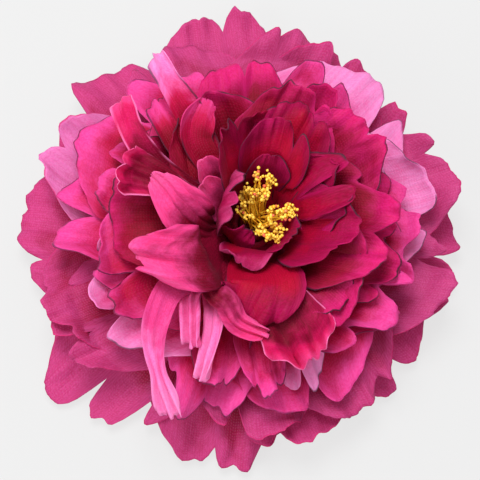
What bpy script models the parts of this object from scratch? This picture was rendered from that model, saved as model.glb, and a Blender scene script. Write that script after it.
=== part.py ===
"""A full double peony bloom, as picked: the stem is cut flush under the calyx, and the bloom lies
on its back and faces up.

The frame is in metres, with +Z up. Its origin is the centre of the cut that the bloom rests on.

Every petal of the whorls grows from a hub on the receptacle and follows one of a family of nested
bowls. Bowl 0 is the lowest and flattest, and the last bowl is the steep cup round the stamens.
Petals on different bowls cannot meet, so each pair of whorls is a solid of its own. The petals of
the cup and of the bloom's open front, and the long ones that stand out of the whorls, are placed
one by one, as straps through a few stations.
"""

import math
import random
from collections import namedtuple

import bmesh
import bpy
from mathutils import Vector

MM = 0.001
SEED = 11

# The family of bowls. Each pair holds the value at bowl 0 and at the last bowl.
BOWLS = 8
ROOT_RADIUS = (12.0 * MM, 8.5 * MM)
ROOT_HEIGHT = (8.3 * MM, 28.3 * MM)
BOWL_RISE = (3.0 * MM, 38.0 * MM)
BOWL_BEND = (16.0 * MM, 10.0 * MM)
BOWL_FALL = (-0.13, -0.03)

# The bloom leans a little to the back right, more at the top than at the rim.
LEAN = Vector((10.5 * MM, 4.5 * MM))
LEAN_HEIGHT = 60.0 * MM
LEAN_POWER = 1.2

# The cup round the stamens is oval: the bowls are squeezed along one direction near the axis.
OVAL_TURN = math.radians(18)
OVAL_SQUEEZE = 0.28
OVAL_RADIUS = 20.0 * MM

# Petals
BLADE = 0.8 * MM
ROOT_SINK = 2.4 * MM
COLUMNS = 3
PETAL_ROWS = 4
STRAP_ROWS = 6
NARROW = 12.0 * MM
NARROW_COLUMNS = 2
CLAW_SHARE = 0.07
NODE_GAP = 1.1 * MM
STEP = 0.5 * MM
NOTCH_WIDTH = 0.17
STRAP_ROOT_HALF_WIDTH = 4.0 * MM
STRAP_KNEE = 5.0 * MM
STRAP_ROOT_FACING = 20

# The receptacle is the swollen end of the stem, and the hubs of the whorls stack up round it.
CORE_FOOT = 6.5 * MM
CORE_TOP = 4.5 * MM
SEAT_GAP = 0.3 * MM
HUB_SHRINK = 0.6 * MM
HUB_CHAMFER = 1.2 * MM
TURN_STEPS = 16

# Calyx
CALYX_RADIUS = 11.0 * MM
CALYX_FOOT = 9.5 * MM
CALYX_HEIGHT = 7.8 * MM
SEPALS = 5
SEPAL_REACH = 33.0 * MM
SEPAL_HALF_WIDTH = 8.0 * MM
SEPAL_BLADE = 1.2 * MM
SEPAL_ROOT = (8.0 * MM, 4.6 * MM)
SEPAL_TIP_HEIGHT = 2.2 * MM
SEPAL_ARCH = 1.6 * MM

# Stamens
STAMENS = 20
STAMEN_BASE = 5.6 * MM
STAMEN_BASE_THICKNESS = 2.0 * MM
FILAMENT_RADIUS = 0.42 * MM
FILAMENT_SPREAD = 8.0 * MM
FILAMENT_RISE = (9.0 * MM, 17.0 * MM)
ANTHER_RADIUS = 1.0 * MM
GOLDEN_ANGLE = math.pi * (3 - math.sqrt(5))

# Two whorls make a node, between the bowls low and high. Past the reach covered, no higher petal
# lies over the node's own petals.
Node = namedtuple("Node", "name low high covered colour")
NODES = (
    Node("guard_petals", 0, 2, 62 * MM, (0.40, 0.02, 0.11)),
    Node("outer_petals", 2, 4, 49 * MM, (0.43, 0.015, 0.10)),
    Node("middle_petals", 4, 6, 35 * MM, (0.45, 0.01, 0.09)),
    Node("inner_petals", 6, None, 0, (0.42, 0.008, 0.07)),
)

# Whorls from the outside in. Each petal is (turn,) or (turn, reach) or (turn, reach, half_width),
# with the turn in degrees counter-clockwise from +X, and sizes in mm. Curl is the degrees that the
# last part of a petal turns, down if negative. The upper whorls leave the bloom's front open.
Whorl = namedtuple("Whorl", "node bowl reach half_width curl ruffle cup tilt flare petals")
WHORLS = (
    Whorl("guard_petals", 0.5, 75, 27, -2, 1.6, 0.00, 3, 0.6,
          ((92, 82), (134, 78), (181, 76), (229, 83), (258, 78), (290, 71), (325, 71), (0, 74), (45, 71))),
    Whorl("guard_petals", 1.5, 69, 24, 10, 1.8, 0.03, 5, 0.6,
          ((112, 73), (160, 74), (200, 71), (216, 72), (273, 67),
           (306, 69), (341, 69), (21, 71), (60, 72), (78, 73))),
    Whorl("outer_petals", 2.5, 62, 25, 18, 1.8, 0.05, 6, 0.5,
          ((99,), (139,), (180,), (214,), (255, 62, 16), (296,), (336,), (14,), (54,))),
    Whorl("outer_petals", 3.5, 55, 24, 20, 1.7, 0.07, 7, 0.4,
          ((77,), (119,), (158,), (200,), (251, 56, 10), (269, 57, 9), (285, 56, 11), (316,), (356,), (36,))),
    Whorl("middle_petals", 4.5, 49, 23, 14, 1.6, 0.07, 8, 0.3,
          ((100,), (140,), (180,), (294,), (334,), (14,), (58,))),
    Whorl("middle_petals", 5.5, 42, 21, 4, 1.5, 0.07, 8, 0.2,
          ((78,), (126,), (312,), (352,), (36,))),
    Whorl("inner_petals", 6.7, 33, 17, -4, 1.2, 0.06, 8, 0.1,
          ((68,), (112,), (336,), (20,))),
)
Petal = namedtuple(
    "Petal",
    "turn bowl reach half_width curl lip ruffle waves phase cup tilt twist flare notch notches skew pleat",
)

# Petals placed one by one. The root is the turn at the hub, where the petal leaves as the whorls do.
# Each station is (x, y, z, half width) in mm. Facing is the direction that the inner face looks in
# at the tip, as (turn, height) in degrees. Ruffle and pleat are in mm.
Strap = namedtuple("Strap", "node root stations facing ruffle waves phase cup pleat notch notches")
STRAPS = (
    # The cup: its left wall, the small petal behind the stamens and the large ones behind and right
    Strap("inner_petals", 185, ((-7, 3, 38, 9), (-5, 7, 48, 14), (-1.5, 9, 55, 17)),
          (0, 35), 1.2, 1.5, 0.4, 0.15, 0, 0.05, (0,)),
    Strap("inner_petals", 80, ((8, 14, 38, 6), (9, 17, 46, 7.5), (10, 20, 51, 6)),
          (270, 50), 0.8, 1.5, 1.4, 0.2, 0, 0.05, (0,)),
    Strap("inner_petals", 60, ((9, 15, 40, 9), (12, 22, 51, 13), (14, 29, 57, 12)),
          (265, 55), 1.4, 2.0, 0.9, 0.2, 0, 0.1, (1 / 3,)),
    Strap("inner_petals", 15, ((17, 7, 38, 10), (24, 9, 49, 17), (35, 12, 55, 19)),
          (190, 70), 1.5, 2.0, 2.4, 0.15, 0, 0.14, (0, 2 / 3)),
    # The cup: its right front wall, and the front lip that rolls out
    Strap("inner_petals", 320, ((13, -4, 37, 7), (15, -5.5, 43, 9.5), (17.5, -6.5, 48, 9.5)),
          (140, 60), 0.8, 1.5, 0.4, 0.2, 0, 0.05, (0,)),
    Strap("inner_petals", 250,
          ((2, -8, 38, 8), (2, -10.5, 43, 9.5), (1.5, -12.5, 45, 9.5), (0.5, -14, 43.5, 9)),
          (245, 50), 1.0, 1.5, 2.0, 0.1, 0, 0.04, (0,)),
    # A small petal that stands up behind the pleated one
    Strap("inner_petals", 145, ((-5, 8, 38, 4.5), (-9, 11.5, 44.5, 7), (-12, 15, 49.5, 6)),
          (300, 70), 0.6, 1.5, 1.0, 0.1, 0, 0.03, (0,)),
    # The broad smooth petal in front of the cup
    Strap("inner_petals", 262,
          ((4, -13, 38, 8), (7, -18, 45, 13), (7, -22, 48, 16), (5, -27, 47.5, 16), (3, -31, 44, 15)),
          (240, 75), 0.8, 1.5, 0.4, -0.04, 0, 0.02, (0,)),
    # The broad fold that arches over to the left, and the pleated petal behind it
    Strap("inner_petals", 205,
          ((-9.5, -12, 42, 8), (-10.5, -14, 52, 10), (-15, -15, 56.5, 10.5),
           (-23, -15.5, 57, 10.5), (-33, -15, 51, 10)),
          (225, 60), 1.8, 2.5, 0.4, -0.05, 0, 0.06, (-1 / 3, 1 / 3)),
    Strap("inner_petals", 180, ((-8, -1, 37, 6), (-13, -1, 45, 7), (-19, 4, 51, 8), (-27, 13, 54, 5)),
          (225, 60), 0.6, 1.5, 0.4, 0.1, 0.7, 0.04, (0,)),
    # Long petals at the back left, and two with rims that stand up, on the left and in front right
    Strap("inner_petals", 115, ((-6, 15, 41, 4), (-13, 24, 47, 5), (-13, 30, 51, 5.5), (-10, 37, 52.5, 4)),
          (270, 60), 0.8, 1.5, 0.4, 0.15, 0, 0.04, (0,)),
    Strap("inner_petals", 112,
          ((-7, 17, 43, 4), (-14, 30, 49.5, 4.5), (-19, 38, 53, 4.5), (-24, 46.5, 53, 4),
           (-27.5, 52.5, 51, 3)),
          (200, 65), 0.8, 1.5, 1.4, 0.1, 0, 0.04, (0,)),
    Strap("inner_petals", 160,
          ((-16, 7, 45, 5), (-25, 11, 51, 8), (-32, 13.5, 53.5, 10), (-35, 14, 55, 10), (-38, 14.5, 56, 9)),
          (340, 50), 1.6, 3.0, 0.4, 0.05, 0, 0.05, (1 / 3,)),
    Strap("inner_petals", 300,
          ((9, -17, 43, 6), (13, -29, 48, 9), (17, -37, 48.5, 11), (19.5, -42, 50.5, 11), (22, -46, 51, 10)),
          (120, 50), 2.0, 3.0, 1.4, 0.05, 0, 0.06, (-1 / 3,)),
    # The ruffled ribbon under the smooth petal
    Strap("inner_petals", 238,
          ((-7, -17, 41, 4), (-8, -23, 46.5, 4), (-4, -27, 47, 4), (0, -33, 46, 3.5), (9, -36, 45, 3)),
          (240, 60), 1.4, 2.5, 0.4, 0.1, 0, 0.05, (0,)),
    # Long narrow petals on edge in the open front
    Strap("middle_petals", 228,
          ((-14, -16, 38, 6), (-22, -23, 46, 4.5), (-26, -33, 46, 4.2), (-26.5, -41, 43, 3.2),
           (-25, -48, 41, 2.5), (-23, -54, 39, 4), (-20, -61, 36, 5)),
          (200, 60), 1.0, 2.5, 0.4, 0.1, 0, 0.05, (0,)),
    Strap("middle_petals", 236,
          ((-12, -17, 38, 4), (-15, -24, 45, 3.5), (-15, -32, 44, 3.5), (-14.5, -40, 41, 3.5)),
          (180, 55), 1.4, 2.5, 1.4, 0.1, 0, 0.05, (0,)),
    Strap("middle_petals", 246,
          ((-8, -17, 37, 4), (-7.5, -28, 43, 4), (-9, -39, 41, 3.5), (-12, -50, 38, 3)),
          (170, 55), 1.2, 2.5, 2.4, 0.1, 0, 0.05, (0,)),
)


def mix(pair, share):
    return pair[0] + (pair[1] - pair[0]) * share


def smooth(share):
    share = min(1.0, max(0.0, share))
    return share * share * (3 - 2 * share)


def bowl_height(bowl, radius):
    """The height of a bowl at a distance from the axis."""
    share = bowl / BOWLS
    out = max(0.0, radius - mix(ROOT_RADIUS, share))
    curve = mix(BOWL_RISE, share) * (1 - math.exp(-out / mix(BOWL_BEND, share)))
    return mix(ROOT_HEIGHT, share) + curve + mix(BOWL_FALL, share) * out


def bowl_slope(bowl, radius):
    near = 0.01 * MM
    return (bowl_height(bowl, radius + near) - bowl_height(bowl, radius - near)) / (2 * near)


def placed(radius, height, turn):
    """A point in the frame, with the oval of the cup and the bloom's lean."""
    squeeze = 1 - OVAL_SQUEEZE * smooth(height / LEAN_HEIGHT) * math.exp(-((radius / OVAL_RADIUS) ** 2))
    along = radius * math.cos(turn - OVAL_TURN) * squeeze
    aside = radius * math.sin(turn - OVAL_TURN)
    x = along * math.cos(OVAL_TURN) - aside * math.sin(OVAL_TURN)
    y = along * math.sin(OVAL_TURN) + aside * math.cos(OVAL_TURN)
    lean = LEAN * (max(0.0, height) / LEAN_HEIGHT) ** LEAN_POWER
    return Vector((x + lean.x, y + lean.y, height))


def midrib(petal):
    """Points (radius, height, slope angle) from a petal's root to its rim, STEP apart."""
    radius = mix(ROOT_RADIUS, petal.bowl / BOWLS) - ROOT_SINK
    height = bowl_height(petal.bowl, radius)
    length = 0.0
    walk = radius
    while walk < petal.reach:
        walk += STEP / math.hypot(1, bowl_slope(petal.bowl, walk))
        length += STEP
    points = []
    travelled = 0.0
    while travelled <= length + STEP:
        share = travelled / length
        turned = petal.curl * smooth((share - 0.5) / 0.5) + petal.lip * smooth((share - 0.84) / 0.16)
        angle = math.atan(bowl_slope(petal.bowl, max(radius, 2 * MM))) + math.radians(turned)
        points.append((radius, height, angle))
        radius += STEP * math.cos(angle)
        height += STEP * math.sin(angle)
        travelled += STEP
    return points


def rim_share(petal, across):
    """How far along the petal its rim lies, from 1 at the tip to less at the sides."""
    rounded = 1 - 0.32 * abs(across) ** 2.7
    cleft = max(max(0.0, 1 - abs(across - place) / NOTCH_WIDTH) for place in petal.notches)
    return rounded - petal.notch * cleft + 0.012 * math.sin(8 * across + petal.phase)


def relief(petal, half_width, across, share):
    """How far the blade stands off its middle surface: the ruffled rim, the cup and the pleats."""
    wave = math.sin(math.pi * petal.waves * across + petal.phase)
    lift = petal.ruffle * share**3 * wave
    lift += petal.cup * half_width * across**2 * 4 * share**2
    return lift + petal.pleat * math.cos(5 * math.pi * across) * share * (1.2 - share)


def width_share(along):
    """Half width along the petal as a share of the widest: a narrow claw that opens to a fan."""
    return 0.26 + 0.74 * smooth(along / 0.72)


def petal_point(petal, line, across, along):
    """A point (radius, height, turn) of a petal. across runs -1 to 1 and along 0 to 1."""
    share = along * rim_share(petal, across)
    place = share * (len(line) - 1)
    low = min(int(place), len(line) - 2)
    part = place - low
    radius, height, angle = (
        a + (b - a) * part for a, b in zip(line[low], line[low + 1])
    )
    side = across * petal.half_width * width_share(share)
    roll = math.radians(petal.tilt + petal.twist * share**2)
    lift = relief(petal, petal.half_width, across, share) + side * math.sin(roll)
    side *= math.cos(roll)
    turn = side / max(radius, 5 * MM)
    flared = radius * (1 + petal.flare * (1 / math.cos(max(-1.1, min(1.1, turn))) - 1))
    height += bowl_height(petal.bowl, flared) - bowl_height(petal.bowl, radius)
    flared -= lift * math.sin(angle)
    height += lift * math.cos(angle)
    return flared, height, math.radians(petal.turn) + turn + petal.skew * share


def between(radius, height, node):
    """The point moved square to the bowls until it is clear of the nodes on either side."""
    for bowl, side in ((node.low, 1), (node.high, -1)):
        if bowl is None:
            continue
        slope = bowl_slope(bowl, radius)
        square = math.hypot(1, slope)
        clear = side * (height - bowl_height(bowl, radius)) / square - NODE_GAP
        if side < 0:
            clear += 1.2 * max(0.0, radius - node.covered)
        if clear < 0:
            radius += side * clear * slope / square
            height -= side * clear / square
    return radius, height


def petal_surface(petal, node):
    """The rule for a whorl's petal: a function from (across, along) to a point in the frame."""
    line = midrib(petal)

    def point(across, along):
        radius, height, turn = petal_point(petal, line, across, along)
        radius, height = between(radius, height, node)
        return placed(radius, height, turn)

    return point


def on_curve(stations, share):
    """The point at a share of the way along a smooth curve through the stations."""
    last = len(stations) - 1
    place = min(max(share, 0.0), 1.0) * last
    low = min(int(place), last - 1)
    part = place - low
    before, start, end, after = (stations[min(max(low + n, 0), last)] for n in (-1, 0, 1, 2))
    return 0.5 * (
        2 * start
        + (end - before) * part
        + (2 * before - 5 * start + 4 * end - after) * part**2
        + (3 * start - before - 3 * end + after) * part**3
    )


def direction(turn, height):
    turn, height = math.radians(turn), math.radians(height)
    return Vector((math.cos(turn) * math.cos(height), math.sin(turn) * math.cos(height), math.sin(height)))


def strap_surface(strap, node):
    """The rule for a petal that is placed by stations."""
    bowl = node.low + 1
    radius = mix(ROOT_RADIUS, bowl / BOWLS) - ROOT_SINK
    stations = []
    for out in (radius, radius + STRAP_KNEE):
        point = placed(out, bowl_height(bowl, out), math.radians(strap.root))
        stations.append(Vector((*point, STRAP_ROOT_HALF_WIDTH)))
    stations += [Vector(station) * MM for station in strap.stations]
    root_face = direction(strap.root + 180, STRAP_ROOT_FACING)
    tip_face = direction(*strap.facing)
    strap = strap._replace(ruffle=strap.ruffle * MM, pleat=strap.pleat * MM)

    def point(across, along):
        share = along * rim_share(strap, across)
        here = on_curve(stations, share)
        near = 0.02
        tangent = (on_curve(stations, share + near) - on_curve(stations, share - near)).to_3d().normalized()
        face = root_face.lerp(tip_face, share)
        side = tangent.cross(face).normalized()
        out = side.cross(tangent)
        lift = relief(strap, here.w, across, share)
        return here.to_3d() + side * across * here.w + out * lift

    return point


def grown_petals():
    """Every whorl's petals, each with its own small departures from the whorl."""
    draw = random.Random(SEED)
    petals = []
    for whorl in WHORLS:
        for place in whorl.petals:
            usual = (whorl.reach * draw.uniform(0.88, 1.05), whorl.half_width)
            turn, reach, half_width = place + usual[len(place) - 1:]
            petal = Petal(
                turn=turn + draw.uniform(-2, 2),
                bowl=whorl.bowl + draw.uniform(-0.25, 0.25),
                reach=reach * MM,
                half_width=half_width * draw.uniform(0.88, 1.12) * MM,
                curl=whorl.curl + draw.uniform(-24, 30),
                lip=draw.choice((-50, -25, 0, 15, 35)),
                ruffle=whorl.ruffle * draw.uniform(0.4, 1.3) * MM,
                waves=draw.choice((1.5, 2, 2.5)),
                phase=draw.uniform(0, 2 * math.pi),
                cup=whorl.cup + draw.uniform(-0.05, 0.06),
                tilt=whorl.tilt + draw.uniform(-4, 4),
                twist=draw.uniform(-14, 14),
                flare=whorl.flare,
                notch=draw.uniform(0.02, 0.13),
                notches=draw.choice(((0,), (-1 / 3,), (1 / 3,), (-1 / 3, 1 / 3), (-2 / 3, 0), (0, 2 / 3))),
                skew=draw.uniform(-0.10, 0.10),
                pleat=draw.uniform(0, 0.3) * MM,
            )
            petals.append((whorl.node, petal))
    return petals


def surfaces(node, petals):
    """The surfaces of a node's petals, whorls first."""
    whorled = [petal_surface(petal, node) for name, petal in petals if name == node.name]
    strapped = [strap_surface(strap, node) for strap in STRAPS if strap.node == node.name]
    return whorled, strapped


def mesh_of(shape, name):
    mesh = bpy.data.meshes.new(name)
    shape.to_mesh(mesh)
    shape.free()
    return mesh


def finish_object(name, mesh, colour, roughness):
    """A named object with a material of its own."""
    material = bpy.data.materials.new(name)
    material.use_nodes = True
    shader = material.node_tree.nodes["Principled BSDF"]
    shader.inputs["Base Color"].default_value = (*colour, 1)
    shader.inputs["Roughness"].default_value = roughness
    shader.inputs["Metallic"].default_value = 0
    mesh.materials.clear()
    mesh.materials.append(material)
    mesh.shade_smooth()
    mesh.set_sharp_from_angle(angle=math.radians(40))
    thing = bpy.data.objects.new(name, mesh)
    bpy.context.scene.collection.objects.link(thing)
    return thing


def turned(profile, name):
    """A closed (radius, height) outline spun into a solid round the axis of the bloom."""
    shape = bmesh.new()
    corners = [shape.verts.new((radius, 0, height)) for radius, height in profile]
    for start, end in zip(corners, corners[1:] + corners[:1]):
        if start.co.x or end.co.x:
            shape.edges.new((start, end))
    bmesh.ops.spin(
        shape,
        geom=shape.verts[:] + shape.edges[:],
        axis=(0, 0, 1),
        cent=(0, 0, 0),
        angle=2 * math.pi,
        steps=TURN_STEPS,
        use_merge=True,
    )
    bmesh.ops.remove_doubles(shape, verts=shape.verts, dist=0.01 * MM)
    bmesh.ops.recalc_face_normals(shape, faces=shape.faces)
    for vertex in shape.verts:
        x, y, z = vertex.co
        vertex.co = placed(math.hypot(x, y), z, math.atan2(y, x))
    return mesh_of(shape, name)


def thicken(sheet, thickness):
    """A sheet of triangles turned into a closed blade whose two faces have the same triangles."""
    bmesh.ops.triangulate(sheet, faces=sheet.faces)
    sheet.normal_update()
    half = [vertex.normal * thickness / 2 for vertex in sheet.verts]
    lower = list(sheet.verts)
    made = bmesh.ops.extrude_face_region(sheet, geom=sheet.faces, use_keep_orig=True)
    upper = [item for item in made["geom"] if isinstance(item, bmesh.types.BMVert)]
    for low, high, step in zip(lower, upper, half):
        high.co = high.co + step
        low.co = low.co - step
    bmesh.ops.recalc_face_normals(sheet, faces=sheet.faces)


def row_share(share, rows):
    """Shares of the way along with the first row moved down to the bend where the claw leaves."""
    first = 1 / rows
    if share < first:
        return share / first * CLAW_SHARE
    return mix((CLAW_SHARE, 1), (share - first) / (1 - first))


def petal_blade(point):
    """A closed petal of a whorl, with twice the columns at its rim."""
    sheet = bmesh.new()
    bmesh.ops.create_grid(sheet, x_segments=COLUMNS, y_segments=PETAL_ROWS, size=1)
    rim_rows = []
    for edge in sheet.edges:
        start, end = (corner.co for corner in edge.verts)
        if min(start.y, end.y) > 0.5 and abs(start.x - end.x) > abs(start.y - end.y):
            rim_rows.append(edge)
    bmesh.ops.subdivide_edges(sheet, edges=rim_rows, cuts=1, use_grid_fill=True)
    for vertex in sheet.verts:
        vertex.co = point(vertex.co.x, row_share((vertex.co.y + 1) / 2, PETAL_ROWS))
    thicken(sheet, BLADE)
    return mesh_of(sheet, "petal")


def strap_blade(point):
    """A closed petal that is placed by stations, with fewer columns if it is narrow."""
    width = (point(1, 0.6) - point(-1, 0.6)).length
    columns = COLUMNS if width > NARROW else NARROW_COLUMNS
    sheet = bmesh.new()
    bmesh.ops.create_grid(sheet, x_segments=columns, y_segments=STRAP_ROWS, size=1)
    for vertex in sheet.verts:
        vertex.co = point(vertex.co.x, (vertex.co.y + 1) / 2)
    thicken(sheet, BLADE)
    return mesh_of(sheet, "strap")


def keep_largest_shell(mesh):
    """Fills sealed hollows and drops loose scraps: every shell goes but the largest."""
    shape = bmesh.new()
    shape.from_mesh(mesh)
    unseen = set(shape.faces)
    shells = []
    while unseen:
        shell = []
        waiting = [unseen.pop()]
        while waiting:
            face = waiting.pop()
            shell.append(face)
            for edge in face.edges:
                near = unseen.intersection(edge.link_faces)
                unseen -= near
                waiting.extend(near)
        shells.append(shell)
    shells.sort(key=len)
    for shell in shells[:-1]:
        bmesh.ops.delete(shape, geom=shell, context="FACES")
    shape.to_mesh(mesh)
    shape.free()


def grown_together(name, body, pieces, colour, roughness):
    """One solid of a body and the pieces that are sunk into it."""
    gathered = bpy.data.collections.new(name + "_pieces")
    bpy.context.scene.collection.children.link(gathered)
    for mesh in pieces:
        gathered.objects.link(bpy.data.objects.new(mesh.name, mesh))
    thing = finish_object(name, body, colour, roughness)
    union = thing.modifiers.new("union", "BOOLEAN")
    union.operation = "UNION"
    union.operand_type = "COLLECTION"
    union.collection = gathered
    union.solver = "MANIFOLD"
    bpy.context.view_layer.update()
    graph = bpy.context.evaluated_depsgraph_get()
    joined = bpy.data.meshes.new_from_object(thing.evaluated_get(graph))
    thing.modifiers.clear()
    thing.data = joined
    for piece in list(gathered.objects):
        bpy.data.objects.remove(piece)
    bpy.data.collections.remove(gathered)
    keep_largest_shell(joined)
    return thing


def core_radius(height):
    share = (height - CALYX_HEIGHT) / (ROOT_HEIGHT[1] - CALYX_HEIGHT)
    return mix((CORE_FOOT, CORE_TOP), min(1.0, max(0.0, share)))


def receptacle():
    outline = (
        (0, 0),
        (CORE_FOOT, 0),
        (CORE_FOOT, CALYX_HEIGHT),
        (CORE_TOP, ROOT_HEIGHT[1]),
        (0, ROOT_HEIGHT[1]),
    )
    return finish_object("receptacle", turned(outline, "receptacle"), (0.22, 0.30, 0.10), 0.7)


def hub(node):
    """The ring that a node's petals grow from, round the receptacle."""
    low, high = node.low / BOWLS, (node.low + 2) / BOWLS
    foot, top = mix(ROOT_HEIGHT, low), mix(ROOT_HEIGHT, high) - SEAT_GAP
    outline = (
        (core_radius(foot) + SEAT_GAP, foot),
        (mix(ROOT_RADIUS, low) - HUB_SHRINK - HUB_CHAMFER, foot),
        (mix(ROOT_RADIUS, low) - HUB_SHRINK, foot + HUB_CHAMFER),
        (mix(ROOT_RADIUS, high) - HUB_SHRINK, top),
        (core_radius(top) + SEAT_GAP, top),
    )
    return turned(outline, node.name)


def sepal(turn):
    """A pointed green blade under the guard petals."""
    sheet = bmesh.new()
    bmesh.ops.create_grid(sheet, x_segments=2, y_segments=4, size=1)
    root_radius, root_height = SEPAL_ROOT
    for vertex in sheet.verts:
        share = (vertex.co.y + 1) / 2
        half = SEPAL_HALF_WIDTH * (0.45 + 0.55 * math.sin(math.pi / 2 * min(1.0, share * 1.3)))
        half *= 1 - 0.86 * smooth((share - 0.45) / 0.55)
        side = vertex.co.x * half
        out = mix((root_radius, SEPAL_REACH), share)
        height = mix((root_height, SEPAL_TIP_HEIGHT), share)
        height += SEPAL_ARCH * (math.sin(math.pi * share) - 0.75 * vertex.co.x**2 * share)
        vertex.co = (
            out * math.cos(turn) - side * math.sin(turn),
            out * math.sin(turn) + side * math.cos(turn),
            height,
        )
    thicken(sheet, SEPAL_BLADE)
    return mesh_of(sheet, "sepal")


def calyx():
    outline = (
        (CORE_FOOT + SEAT_GAP, 0),
        (CALYX_FOOT, 0),
        (CALYX_RADIUS, 3 * MM),
        (CALYX_RADIUS, CALYX_HEIGHT),
        (CORE_FOOT + SEAT_GAP, CALYX_HEIGHT),
    )
    sepals = [sepal(2 * math.pi * (n + 0.3) / SEPALS) for n in range(SEPALS)]
    return grown_together("calyx", turned(outline, "calyx"), sepals, (0.10, 0.26, 0.05), 0.55)


def filament(points):
    """A three-sided stalk through the points, closed at both ends."""
    shape = bmesh.new()
    rings = []
    for point in points:
        ring = bmesh.ops.create_circle(shape, cap_ends=False, segments=3, radius=FILAMENT_RADIUS)["verts"]
        bmesh.ops.translate(shape, vec=point, verts=ring)
        rings.append(ring)
    for low, high in zip(rings, rings[1:]):
        for n in range(3):
            shape.faces.new((low[n], low[n - 2], high[n - 2], high[n]))
    shape.faces.new(rings[0])
    shape.faces.new(rings[-1])
    bmesh.ops.triangulate(shape, faces=shape.faces)
    bmesh.ops.recalc_face_normals(shape, faces=shape.faces)
    return mesh_of(shape, "filament")


def anther(centre):
    shape = bmesh.new()
    bmesh.ops.create_icosphere(shape, subdivisions=1, radius=ANTHER_RADIUS)
    bmesh.ops.translate(shape, vec=centre, verts=shape.verts)
    return mesh_of(shape, "anther")


def stamen_line(n, rise):
    """The foot, bend and end of a stamen, which fans out of the base on the receptacle."""
    share = math.sqrt((n + 0.5) / STAMENS)
    turn = n * GOLDEN_ANGLE
    foot = ROOT_HEIGHT[1] + SEAT_GAP
    top = foot + STAMEN_BASE_THICKNESS
    return (
        placed(share * (STAMEN_BASE - 1.6 * MM), foot + 0.6 * MM, turn),
        placed(share * (STAMEN_BASE - 0.4 * MM), top + rise * 0.45, turn),
        placed(share * FILAMENT_SPREAD, top + rise, turn),
    )


def stamens():
    """Stalks that stand on a small base on top of the receptacle, each with an anther bead."""
    draw = random.Random(SEED)
    foot = ROOT_HEIGHT[1] + SEAT_GAP
    top = foot + STAMEN_BASE_THICKNESS
    outline = ((0, foot), (STAMEN_BASE, foot), (STAMEN_BASE - 1 * MM, top), (0, top))
    pieces = []
    for n in range(STAMENS):
        line = stamen_line(n, mix(FILAMENT_RISE, draw.random()))
        pieces.append(filament(line))
        pieces.append(anther(line[-1]))
    return grown_together("stamens", turned(outline, "stamens"), pieces, (0.72, 0.42, 0.02), 0.4)


def main():
    for thing in list(bpy.data.objects):
        bpy.data.objects.remove(thing)
    receptacle()
    calyx()
    petals = grown_petals()
    for node in NODES:
        whorled, strapped = surfaces(node, petals)
        blades = [petal_blade(point) for point in whorled] + [strap_blade(point) for point in strapped]
        grown_together(node.name, hub(node), blades, node.colour, 0.6)
    stamens()


if __name__ == "__main__":
    main()
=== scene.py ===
# %% [markdown]
# # A full double peony
# The bloom is magenta, about 150 mm across, and lies on its back. A double peony is a stack of
# whorls: broad, nearly flat guard petals at the bottom, then whorl after whorl of steeper petals, and
# in the middle a cup of petals round the gold stamens. The frame holds plain solids of these pieces.
# This lesson dresses each of them with thin petals that follow the same rule, and then with fabric.

# %% Load the frame
import math
import random
from collections import namedtuple

import bmesh
import bpy
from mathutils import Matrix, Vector, noise


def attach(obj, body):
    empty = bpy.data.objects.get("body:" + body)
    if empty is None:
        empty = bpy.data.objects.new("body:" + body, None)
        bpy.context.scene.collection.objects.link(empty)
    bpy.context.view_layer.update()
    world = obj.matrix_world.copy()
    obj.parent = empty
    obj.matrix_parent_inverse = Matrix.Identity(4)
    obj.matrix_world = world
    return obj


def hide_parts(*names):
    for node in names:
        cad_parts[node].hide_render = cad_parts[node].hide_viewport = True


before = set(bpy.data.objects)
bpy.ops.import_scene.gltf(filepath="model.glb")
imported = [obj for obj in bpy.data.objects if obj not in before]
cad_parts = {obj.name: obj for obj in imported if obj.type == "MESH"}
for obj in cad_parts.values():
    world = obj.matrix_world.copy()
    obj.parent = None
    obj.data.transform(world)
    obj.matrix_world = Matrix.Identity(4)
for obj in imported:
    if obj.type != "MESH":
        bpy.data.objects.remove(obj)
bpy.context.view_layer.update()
MM = 0.001
print("the frame has", len(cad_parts), "nodes")


def new_piece(name, shape):
    """An object at the origin, made of a finished bmesh."""
    mesh = bpy.data.meshes.new(name)
    shape.to_mesh(mesh)
    shape.free()
    piece = bpy.data.objects.new(name, mesh)
    bpy.context.scene.collection.objects.link(piece)
    return piece


# %% [markdown]
# ## The camera and the light
# The bloom is pictured from above, a little towards its front, with a long lens. The camera could be
# placed by eye, but an angle, an aim and a half width are easier to adjust. The light is soft: a
# pale surrounding, one broad lamp above the bloom, a little behind it, and a weak one on the left. The
# picture has no shadow on its ground, so the floor is a panel that glows, as a light table does.

# %% The camera
ELEVATION = math.radians(78)
LENS = 100.0
SENSOR = 36.0
VIEW_HALF_WIDTH = 78.1 * MM
AIM = Vector((0.0, -3.0, 28.0)) * MM


def add_camera():
    back = Vector((0, -math.cos(ELEVATION), math.sin(ELEVATION)))
    data = bpy.data.cameras.new("camera")
    data.lens = LENS
    data.sensor_width = SENSOR
    camera = bpy.data.objects.new("camera", data)
    camera.location = AIM + back * VIEW_HALF_WIDTH * 2 * LENS / SENSOR
    camera.rotation_mode = "QUATERNION"
    camera.rotation_quaternion = (-back).to_track_quat("-Z", "Y")
    bpy.context.scene.collection.objects.link(camera)
    bpy.context.scene.camera = camera
    print("camera", round((camera.location - AIM).length, 3), "m from the bloom")


add_camera()

# %% The light
# Each lamp's place and size in metres, and its power in watts
KEY_LIGHT = ((-0.06, 0.28, 0.76), 0.34, 6.0)
LEFT_LIGHT = ((-0.55, -0.30, 0.50), 0.40, 2.4)
SURROUND = 0.62


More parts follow.
